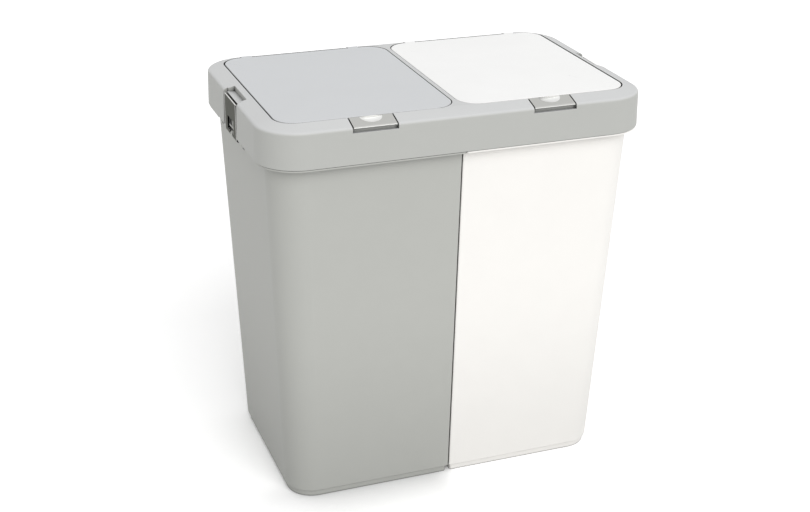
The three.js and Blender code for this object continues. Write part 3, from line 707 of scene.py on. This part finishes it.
def bin_ring(z, offset):
    """The left bin's wall at a height, moved inward by an offset."""
    share = (BIN_HEIGHT - z) / (BIN_HEIGHT - PLINTH_HEIGHT)
    inset_x = BIN_TOP_INSET + BIN_TAPER_X * share + offset
    inset_y = BIN_TOP_INSET + BIN_TAPER_Y * share + offset
    radius = BIN_TOP_RADIUS + (BIN_FOOT_RADIUS - BIN_TOP_RADIUS) * share + min(inset_x, inset_y) - offset
    seam = BIN_SEAM_RADIUS + min(offset, inset_y)
    plan = Plan(BIN_PLAN.x0, BIN_PLAN.x1, BIN_PLAN.y0, BIN_PLAN.y1, [seam, radius, radius, seam])
    return plan.ring(z, inset_x, offset, inset_y, inset_y)


def rim_plan(inset, past_seam=0):
    """The rim follows the frame on three sides and stops at the seam, or runs past it."""
    corner = CORNER_RADIUS - inset
    return Plan(-HALF_WIDTH + inset, -BIN_SEAM_HALF + past_seam, -HALF_DEPTH + inset, HALF_DEPTH - inset,
                [BIN_SEAM_RADIUS, corner, corner, BIN_SEAM_RADIUS])


def make_bin():
    wall = [bin_ring(PLINTH_HEIGHT, BIN_FOOT_ROUND)]
    foot_steps = 5
    for step in range(1, foot_steps + 1):
        angle = math.pi / 2 * step / foot_steps
        wall.append(bin_ring(PLINTH_HEIGHT + BIN_FOOT_ROUND * (1 - math.cos(angle)),
                             BIN_FOOT_ROUND * (1 - math.sin(angle))))
    wall.append(bin_ring(BIN_HEIGHT, 0))
    plinth = loft([bin_ring(0, PLINTH_INSET), bin_ring(PLINTH_HEIGHT + OVER_CUT, PLINTH_INSET)])
    bead_top = SKIRT_BOTTOM - BEAD_GAP
    lip_bottom = bead_top - BEAD_HEIGHT
    rim = cut(join(rim_plan(LIP_INSET).prism(0, lip_bottom, BIN_HEIGHT),
                   rim_plan(BEAD_INSET).prism(0, lip_bottom, bead_top)),
              rim_plan(LIP_INSET + LIP_WALL, OVER_CUT).prism(0, lip_bottom - OVER_CUT,
                                                             BIN_HEIGHT - RIM_THICKNESS))
    notch = box(-HALF_WIDTH, -CLIP_WALL_INNER + LUG_SIDE_GAP, -RIM_NOTCH, RIM_NOTCH,
                lip_bottom - OVER_CUT, BIN_HEIGHT + OVER_CUT)
    hollow = loft([
        bin_ring(BIN_FLOOR, PLINTH_INSET + BIN_WALL + BIN_FOOT_ROUND),
        bin_ring(BIN_FLOOR + BIN_FOOT_ROUND, PLINTH_INSET + BIN_WALL),
        bin_ring(PLINTH_HEIGHT, PLINTH_INSET + BIN_WALL),
        bin_ring(PLINTH_HEIGHT + BIN_FLOOR, BIN_WALL),
        bin_ring(BIN_HEIGHT + OVER_CUT, BIN_WALL),
    ])
    shell = cut(join(loft(wall), plinth, rim), notch)
    shell = cut(join(shell, *clip_lugs()), hollow, clip_bore())
    return soften(shell, 0.45, merge_flats=False)


def clip_lugs():
    share = (BIN_HEIGHT - CLIP_PIN_Z) / (BIN_HEIGHT - PLINTH_HEIGHT)
    wall = HALF_WIDTH - BIN_TOP_INSET - BIN_TAPER_X * share
    root = -wall + BIN_WALL / 2
    inner = OUTER_LUG_REACH - OUTER_LUG
    spans = ((-OUTER_LUG_REACH, -inner), (-MIDDLE_LUG / 2, MIDDLE_LUG / 2), (inner, OUTER_LUG_REACH))
    return [
        join(rod_along_y(y0, y1, -CLIP_PIN_X, CLIP_PIN_Z, LUG_RADIUS),
             box(-CLIP_PIN_X, root, y0, y1, CLIP_PIN_Z - LUG_RADIUS, CLIP_PIN_Z + LUG_RADIUS))
        for y0, y1 in spans
    ]


def clip_bore():
    reach = OUTER_LUG_REACH + OVER_CUT
    return rod_along_y(-reach, reach, -CLIP_PIN_X, CLIP_PIN_Z, CLIP_PIN_RADIUS + PIN_GAP)


# ------------------------------------------------------------------ side clips


def make_clip():
    """The left clip, closed: a plate on a barrel, with a window and a snap nose."""
    half = CLIP_WIDTH / 2
    window_low = CLIP_PIN_Z + CLIP_BARREL + REST_GAP
    nose_top = CLIP_TOP - CLIP_NOSE_DROP
    nose_x = CLIP_WALL_X + CLIP_CATCH_REACH + REST_GAP
    edge = CLIP_THICKNESS / 3
    outline = [
        (-CLIP_OUTER, CLIP_PIN_Z), (-CLIP_INNER, CLIP_PIN_Z),
        (-CLIP_INNER, nose_top - CLIP_NOSE_HEIGHT), (-nose_x, nose_top - CLIP_NOSE_HEIGHT),
        (-nose_x, nose_top - CLIP_NOSE_HEIGHT / 2), (-CLIP_INNER, nose_top),
        (-CLIP_INNER, CLIP_TOP - edge), (-CLIP_INNER - edge, CLIP_TOP),
        (-CLIP_OUTER + edge, CLIP_TOP), (-CLIP_OUTER, CLIP_TOP - edge),
    ]
    plate = sweep_along_y(outline, -half, half)
    barrel = rod_along_y(-half, half, -CLIP_PIN_X, CLIP_PIN_Z, CLIP_BARREL)
    window = box(-HALF_WIDTH, -CLIP_PIN_X + CLIP_BARREL, -CLIP_WINDOW / 2, CLIP_WINDOW / 2,
                 window_low, window_low + CLIP_WINDOW_HEIGHT)
    lug = MIDDLE_LUG / 2 + LUG_SIDE_GAP
    slot = box(-HALF_WIDTH, -CLIP_PIN_X + CLIP_BARREL + OVER_CUT, -lug, lug,
               CLIP_PIN_Z - CLIP_BARREL - OVER_CUT, window_low + OVER_CUT)
    return soften(cut(join(plate, barrel), window, slot, clip_bore()), 0.4, angle=30, merge_flats=False)


# ------------------------------------------------------------------ materials


# Places in a node's list of outputs
OBJECT_GENERATED, OBJECT_NORMAL, OBJECT_PLACE = 0, 1, 3
CAMERA_RAY, GLOSSY_RAY, TRANSMISSION_RAY = 0, 3, 6
DEEP, UP = 1, 2
OPEN_SHARE = 1

# Tones that depend on the place, most of them painted light and shade: on faces that look up, in crevices
# and finger hollows, towards a bin's foot, in the latch's hollow and on the clip's margins
CREVICE_REACH = 4.5
CREVICE_OPEN, CREVICE_SHUT = 0.78, 0.36  # shares of open sky where a crevice begins and is darkest
PLASTIC_CREVICE_SHADE = 0.9  # how much darker painted shade makes a crevice
METAL_CREVICE_SHADE = 0.85
FINGER = 16  # reach of a hollow for a finger, where shade is painted
FINGER_OPEN, FINGER_SHUT = 0.9, 0.4
LEVEL_FROM, LEVEL_TO = 0.15, 0.9  # slopes between which a face begins to count as facing up
FOOT_FROM, FOOT_TO = -80, 360  # heights between which a bin grows paler, as its painted shade towards the foot fades
BOWL_FROM, BOWL_TO = 0.1, 0.35  # depths at which the thumb hollow and its painted highlight begin
# Colour of the painted highlight in the latch's thumb hollow
BOWL_HIGHLIGHT_TONE = (0.9, 0.9, 0.89, 1)
MARGIN_FROM, MARGIN_TO = 4, 1.5  # painted highlights on the margins, from the clip's sides
MARGIN_HIGHLIGHT_TONE = (0.62, 0.62, 0.61, 1)
EDGE_TINT = (0.45, 0.45, 0.44, 1)  # metal seen at a low angle
SKY_SAMPLES = 12
FLOOR_SKY_SAMPLES = 16

# Light
SKY, SKY_FROM_RIGHT = 0.63, 0.06
KEY_STRENGTH = 1.45
KEY_SPREAD = 50
KEY_TOWARD = Vector((0, -0.8, 0.6))

# The floor as it is seen, and its soft shadow before the left bin
FLOOR_LIT = 0.68
FLOOR_SEEN = 1.32
FOOT_SHADOW = 0.65
FOOT_SHADOW_REACH = 90
SHADOW_LEFT_FROM, SHADOW_LEFT_TO = 20, -30
SHADOW_FRONT_FROM, SHADOW_FRONT_TO = -80, -140


class Value:
    """A shader socket that can be added, subtracted, multiplied and divided in Python."""

    def __init__(self, tree, socket):
        self.tree = tree
        self.socket = socket

    def _math(self, operation, first, second):
        return self.tree.node("ShaderNodeMath", {"operation": operation}, {0: first, 1: second})[0]

    def __add__(self, other):
        return self._math("ADD", self, other)

    def __radd__(self, other):
        return self._math("ADD", other, self)

    def __sub__(self, other):
        return self._math("SUBTRACT", self, other)

    def __rsub__(self, other):
        return self._math("SUBTRACT", other, self)

    def __mul__(self, other):
        return self._math("MULTIPLY", self, other)

    def __rmul__(self, other):
        return self._math("MULTIPLY", other, self)

    def __truediv__(self, other):
        return self._math("DIVIDE", self, other)

    def most(self, other):
        return self._math("MAXIMUM", self, other)


class Tree:
    """The node tree of one material or of the world."""

    def __init__(self, owner, output):
        owner.use_nodes = True
        self.nodes = owner.node_tree.nodes
        self.links = owner.node_tree.links
        self.nodes.clear()
        self.output = self.nodes.new(output)

    def node(self, kind, settings=None, inputs=None):
        """Adds a node and returns its outputs as values."""
        made = self.nodes.new(kind)
        for name, value in (settings or {}).items():
            setattr(made, name, value)
        for name, value in (inputs or {}).items():
            self.set(made.inputs[name], value)
        return [Value(self, socket) for socket in made.outputs]

    def set(self, socket, value):
        if isinstance(value, Value):
            self.links.new(value.socket, socket)
        else:
            socket.default_value = value

    def noise(self, size, detail=2.0, stretch=(1, 1, 1)):
        """Noise with features of about a size in millimetres, from 0 to 1."""
        place = self.node("ShaderNodeTexCoord")[OBJECT_PLACE]
        scaled = self.node("ShaderNodeVectorMath", {"operation": "MULTIPLY"}, {0: place, 1: stretch})[0]
        return self.node("ShaderNodeTexNoise", {}, {"Vector": scaled, "Scale": 1 / (size * MM),
                                                    "Detail": detail})[0]

    def blend(self, share, first, second):
        """A colour between two colours."""
        return self.node("ShaderNodeMix", {"data_type": "RGBA"}, {0: share, 6: first, 7: second})[2]

    def seen_rays(self):
        """1 for rays from the camera, and for those a mirror or glass sends on, otherwise 0."""
        rays = self.node("ShaderNodeLightPath")
        return rays[CAMERA_RAY].most(rays[GLOSSY_RAY].most(rays[TRANSMISSION_RAY]))

    def place(self):
        """The three coordinates of the place, in the piece's own axes and in metres."""
        return self.parts(self.node("ShaderNodeTexCoord")[OBJECT_PLACE])

    def facing(self):
        """The three parts of the direction that the surface faces, in the piece's own axes."""
        return self.parts(self.node("ShaderNodeTexCoord")[OBJECT_NORMAL])

    def parts(self, vector):
        return self.node("ShaderNodeSeparateXYZ", {}, {0: vector})[:3]

    def ramp(self, value, low, high, first=0.0, last=1.0, kind="SMOOTHSTEP"):
        """From one number at a low value to another at a high one."""
        return self.node("ShaderNodeMapRange", {"interpolation_type": kind}, {
            "Value": value, "From Min": low, "From Max": high, "To Min": first, "To Max": last})[0]

    def size(self, value):
        return self.node("ShaderNodeMath", {"operation": "ABSOLUTE"}, {0: value})[0]

    def facing_up(self):
        """From 0 on upright and lower faces to 1 on level ones."""
        return self.ramp(self.facing()[UP], LEVEL_FROM, LEVEL_TO)

    def kept_across(self, least):
        """From 1 on faces that look along X or Z down to a number on faces that look along Y."""
        across = self.facing()[DEEP]
        return self.ramp(across * across, 0.4, 0.8, 1.0, least)

    def open_sky(self, reach, samples=SKY_SAMPLES):
        """The share of what a place sees that nothing blocks within a reach in millimetres."""
        seen = self.node("ShaderNodeAmbientOcclusion", {"samples": samples}, {"Distance": reach * MM})
        return seen[OPEN_SHARE]

    def finger_hollow(self):
        """From 0 in the open to 1 deep in a hollow for a finger, the mask for painted shade."""
        return self.ramp(self.open_sky(FINGER), FINGER_OPEN, FINGER_SHUT, kind="LINEAR")

    def crevice(self):
        """From 0 in the open to 1 in narrow gaps, the mask for painted shade."""
        return self.ramp(self.open_sky(CREVICE_REACH), CREVICE_OPEN, CREVICE_SHUT, kind="LINEAR")

    def times(self, tone, factor):
        """A colour made lighter or darker by a number or a value."""
        if not isinstance(factor, Value):
            factors = (factor,) * 3
            return self.node("ShaderNodeVectorMath", {"operation": "MULTIPLY"}, {0: tone, 1: factors})[0]
        return self.node("ShaderNodeVectorMath", {"operation": "SCALE"}, {0: tone, "Scale": factor})[0]

    def bump(self, height, depth, strength=1.0):
        return self.node("ShaderNodeBump", {}, {"Height": height, "Distance": depth * MM,
                                                "Strength": strength})[0]


def colour(red, green, blue):
    """A colour given as it shows on a screen, 0 to 255, made linear."""
    def linear(value):
        share = value / 255
        return share / 12.92 if share <= 0.04045 else ((share + 0.055) / 1.055) ** 2.4
    return (linear(red), linear(green), linear(blue), 1)


def moulded_plastic(name, base, painted_top_tone, roughness, foot_tone=1.0, hollow_tone=1.0):
    """Matt injection moulding: fine grain, soft mottling, painted light on faces that look up, painted
    shade in crevices.

    foot_tone is how much of its brightness the colour keeps below the floor, where the ramp of painted
    shade begins, and hollow_tone how much it keeps deep in a hollow for a finger, where shade is painted
    too.
    """
    material = bpy.data.materials.new(name)
    tree = Tree(material, "ShaderNodeOutputMaterial")
    mottling = tree.noise(38, 3)
    grain = tree.noise(0.55, 3)
    # Faces that look up take the second colour: painted light
    tone = tree.blend(tree.facing_up(), base, painted_top_tone)
    tone = tree.times(tone, 0.975 + mottling * 0.03 + grain * 0.01)
    # Darker towards the foot: painted shade
    if foot_tone < 1:
        kept = tree.ramp(tree.place()[UP], FOOT_FROM * MM, FOOT_TO * MM, foot_tone, 1.0, "SMOOTHERSTEP")
        tone = tree.times(tone, kept)
    # Darker deep in a finger hollow: painted shade
    if hollow_tone < 1:
        tone = tree.times(tone, 1 - tree.finger_hollow() * (1 - hollow_tone))
    surface = tree.node("ShaderNodeBsdfPrincipled", {}, {
        # Base colour darkened in crevices: painted shade
        "Base Color": tree.times(tone, 1 - tree.crevice() * PLASTIC_CREVICE_SHADE),
        "Roughness": roughness - 0.04 + mottling * 0.05 + grain * 0.05,
        "Normal": tree.bump(grain, 0.02, 0.5),
        "Specular IOR Level": 0.4,
    })[0]
    tree.set(tree.output.inputs["Surface"], surface)
    return material


def satin_metal(name, base, painted_top_tone, roughness, stretch=(1, 12, 12), accent=None, side_tone=1.0):
    """Satin metal with fine brush lines, a painted reflection on faces that look up, painted shade in
    crevices.

    accent takes the tree and gives a share and the colour of a painted highlight there. side_tone is how
    much of its brightness the metal keeps on faces that look along Y, which lie close to a notch's wall, as
    painted shade.
    """
    material = bpy.data.materials.new(name)
    tree = Tree(material, "ShaderNodeOutputMaterial")
    lines = tree.noise(2.4, 4, stretch)
    cloud = tree.noise(14, 2)
    # Faces that look up take the second colour: a painted reflection
    tone = tree.blend(tree.facing_up(), base, painted_top_tone)
    # accent paints a highlight over the tone
    if accent:
        share, painted_highlight = accent(tree)
        tone = tree.blend(share, tone, painted_highlight)
    tone = tree.times(tone, 0.93 + lines * 0.14)
    # Darker on faces that look along Y: painted shade
    if side_tone < 1:
        tone = tree.times(tone, tree.kept_across(side_tone))
    surface = tree.node("ShaderNodeBsdfPrincipled", {}, {
        # Base colour darkened in crevices: painted shade
        "Base Color": tree.times(tone, 1 - tree.crevice() * METAL_CREVICE_SHADE),
        "Metallic": 1.0,
        "Roughness": roughness - 0.05 + lines * 0.08 + cloud * 0.05,
        "Normal": tree.bump(lines, 0.01, 0.4),
        "Specular Tint": EDGE_TINT,
    })[0]
    tree.set(tree.output.inputs["Surface"], surface)
    return material


def bowl_highlight(tree):
    """The thumb hollow, painted brighter as a highlight: what lies below the latch's own slope, behind its
    rounded front edge.
    """
    _, along, height = tree.place()
    slope = SHOULDER_DROP / (STRIP_WIDTH - SKIRT_DRAFT)
    depth = (LID_PLANE + OPENING_Y * slope) * MM + along * slope - height
    below = tree.ramp(depth, BOWL_FROM * MM, BOWL_TO * MM)
    behind = tree.node("ShaderNodeMath", {"operation": "GREATER_THAN"}, {
        0: along, 1: -(HALF_DEPTH - SHOULDER_RADIUS) * MM})[0]
    return below * behind * tree.facing_up(), BOWL_HIGHLIGHT_TONE


def margin_highlights(tree):
    """The clip's two upright margins, painted bright as a highlight."""
    half = CLIP_WIDTH / 2
    reach = tree.size(tree.place()[DEEP])
    return tree.ramp(reach, (half - MARGIN_FROM) * MM, (half - MARGIN_TO) * MM), MARGIN_HIGHLIGHT_TONE


# Each plastic's second colour is painted light on faces that look up; foot_tone and hollow_tone paint shade
# towards the foot and in finger hollows
frame_grey = moulded_plastic("frame_grey", colour(189, 190, 186), colour(211, 212, 212), 0.5,
                             hollow_tone=0.55)
lid_grey = moulded_plastic("lid_grey", colour(196, 197, 198), colour(213, 215, 217), 0.5)
bin_grey = moulded_plastic("bin_grey", colour(189, 190, 185), colour(189, 190, 185), 0.52, 0.8)
white_plastic = moulded_plastic("white_plastic", colour(255, 253, 249), colour(255, 255, 254), 0.45, 0.83)
# For the metals the second colour is painted: a darker reflection on the latch's plate, a bright highlight
# on the clip's top
latch_silver = satin_metal("latch_silver", colour(232, 232, 229), colour(198, 198, 195), 0.34,
                           accent=bowl_highlight)
# The clip's margins carry a painted highlight and its sides painted shade
clip_silver = satin_metal("clip_silver", colour(100, 101, 96), colour(250, 250, 248), 0.36, (12, 1, 12),
                          accent=margin_highlights, side_tone=0.06)
pin_steel = satin_metal("pin_steel", colour(196, 197, 198), colour(196, 197, 198), 0.3)
spring_steel = satin_metal("spring_steel", colour(178, 178, 176), colour(178, 178, 176), 0.32, (1, 1, 1))

# ------------------------------------------------------------------ the pieces in place


def dress_pair(kind, piece, left_material, right_material):
    """The left piece and its mirror image, each in its CAD node's place."""
    twin = mirrored(piece)
    dress(piece, f"left_{kind}_finished", f"left_{kind}", f"left_{kind}", left_material)
    dress(twin, f"right_{kind}_finished", f"right_{kind}", f"right_{kind}", right_material)


collar = soften(make_frame(), 0.5)
dress(collar, "lid_frame_finished", "lid_frame", "lid_frame", frame_grey)
dress_pair("lid", make_lid(), lid_grey, white_plastic)
dress_pair("latch", make_latch(), latch_silver, latch_silver)
dress_pair("bin", make_bin(), bin_grey, white_plastic)
dress_pair("clip", make_clip(), clip_silver, clip_silver)

for node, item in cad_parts.items():
    if "pin" in node or "spring" in node:
        item.data.materials.clear()
        item.data.materials.append(spring_steel if "spring" in node else pin_steel)

# ------------------------------------------------------------------ floor, light and camera


def make_floor():
    reach = 6000
    corners = [(-reach, -reach, 0), (reach, -reach, 0), (reach, reach, 0), (-reach, reach, 0)]
    floor = object_from("floor", corners, [(0, 1, 2, 3)])
    material = bpy.data.materials.new("floor_paper")
    tree = Tree(material, "ShaderNodeOutputMaterial")
    shut = 1 - tree.open_sky(FOOT_SHADOW_REACH, FLOOR_SKY_SAMPLES)
    across, along, _ = tree.place()
    left = tree.ramp(across, SHADOW_LEFT_FROM * MM, SHADOW_LEFT_TO * MM)
    front = tree.ramp(along, SHADOW_FRONT_FROM * MM, SHADOW_FRONT_TO * MM)
    seen = tree.times((FLOOR_SEEN,) * 3, 1 - shut * left * front * FOOT_SHADOW)
    shown = tree.blend(tree.seen_rays(), (FLOOR_LIT,) * 3 + (1,), seen)
    surface = tree.node("ShaderNodeBsdfDiffuse", {}, {"Color": shown})[0]
    tree.set(tree.output.inputs["Surface"], surface)
    floor.data.materials.append(material)


def make_light():
    world = bpy.data.worlds.new("studio")
    bpy.context.scene.world = world
    tree = Tree(world, "ShaderNodeOutputWorld")
    toward = tree.node("ShaderNodeTexCoord")[OBJECT_GENERATED]
    from_right = tree.node("ShaderNodeSeparateXYZ", {}, {0: toward})[0]
    lit = SKY + from_right * SKY_FROM_RIGHT
    seen = tree.seen_rays()
    strength = lit * (1 - seen) + seen
    background = tree.node("ShaderNodeBackground", {}, {"Color": (1, 1, 1, 1), "Strength": strength})[0]
    tree.set(tree.output.inputs["Surface"], background)
    key = bpy.data.lights.new("key", "SUN")
    key.energy = KEY_STRENGTH
    key.angle = math.radians(KEY_SPREAD)
    lamp = bpy.data.objects.new("key", key)
    lamp.rotation_euler = KEY_TOWARD.to_track_quat("Z", "Y").to_euler()
    bpy.context.scene.collection.objects.link(lamp)


def make_camera():
    """The photograph's view, worked out from the object's straight edges."""
    image_width = 810
    focal_pixels = 1440.9
    yaw, pitch, roll = (math.radians(angle) for angle in (20.6, 24.04, 0.635))
    distance = 2064.4
    target = Vector((-28.8, -27.6, 300))
    back = Vector((-math.sin(yaw) * math.cos(pitch), -math.cos(yaw) * math.cos(pitch), math.sin(pitch)))
    right = Vector((0, 0, 1)).cross(back).normalized()
    up = back.cross(right)
    turned_right = right * math.cos(roll) + up * math.sin(roll)
    turned_up = up * math.cos(roll) - right * math.sin(roll)
    data = bpy.data.cameras.new("camera")
    data.sensor_width = 36
    data.lens = 36 * focal_pixels / image_width
    data.clip_end = 50
    camera = bpy.data.objects.new("camera", data)
    axes = Matrix((turned_right, turned_up, back)).transposed().to_4x4()
    camera.matrix_world = Matrix.Translation((target + back * distance) * MM) @ axes
    bpy.context.scene.collection.objects.link(camera)
    bpy.context.scene.camera = camera


make_floor()
make_light()
make_camera()
bpy.context.scene.view_settings.view_transform = "Standard"
